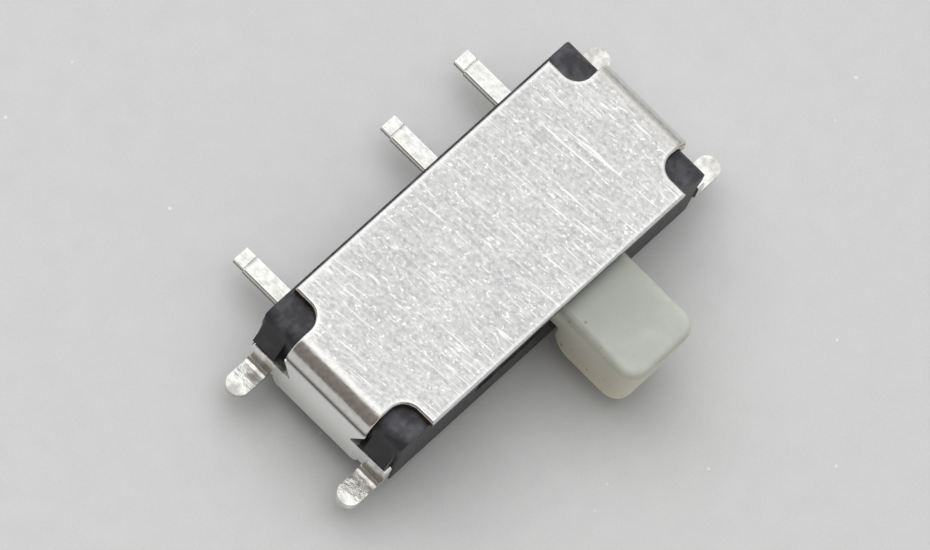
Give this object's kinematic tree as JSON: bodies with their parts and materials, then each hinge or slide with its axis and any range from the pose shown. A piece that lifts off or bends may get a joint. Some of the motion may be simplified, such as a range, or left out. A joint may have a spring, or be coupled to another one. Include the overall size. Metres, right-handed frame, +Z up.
{
  "type": "slide switch",
  "caption": "Miniature surface-mount slide switch with a side knob, stamped metal cover, solder feet, contact legs and locating posts.",
  "frame": {"origin": "centre of the base's underside, the plane that lies on the board, midway between the two locating posts", "axes": "+X along the body in the knob's travel, -Y towards the knob, +Y towards the legs, +Z up out of the metal cover"},
  "size_m": [0.0076, 0.0053, 0.0019],
  "materials": {
    "black_moulding": "matte moulded, heat-resistant black plastic",
    "plated_steel": "satin tin plate over stamped sheet, fine rolling marks across the width",
    "white_moulding": "natural unpigmented nylon, slightly translucent",
    "spring_bronze": "bright spring bronze",
    "plated_brass": "bright silver plate over brass strip"
  },
  "bodies": {
    "housing": {"base": "black_moulding", "cover": "plated_steel", "terminal_left": "plated_brass", "terminal_common": "plated_brass", "terminal_right": "plated_brass"},
    "actuator": {"slider": "white_moulding", "contact_clip": "spring_bronze"}
  },
  "joints": [
    {"name": "knob_slide", "type": "slide", "parent": "housing", "child": "actuator", "axis": [1, 0, 0], "range_m": [-0.0015, 0]}
  ]
}
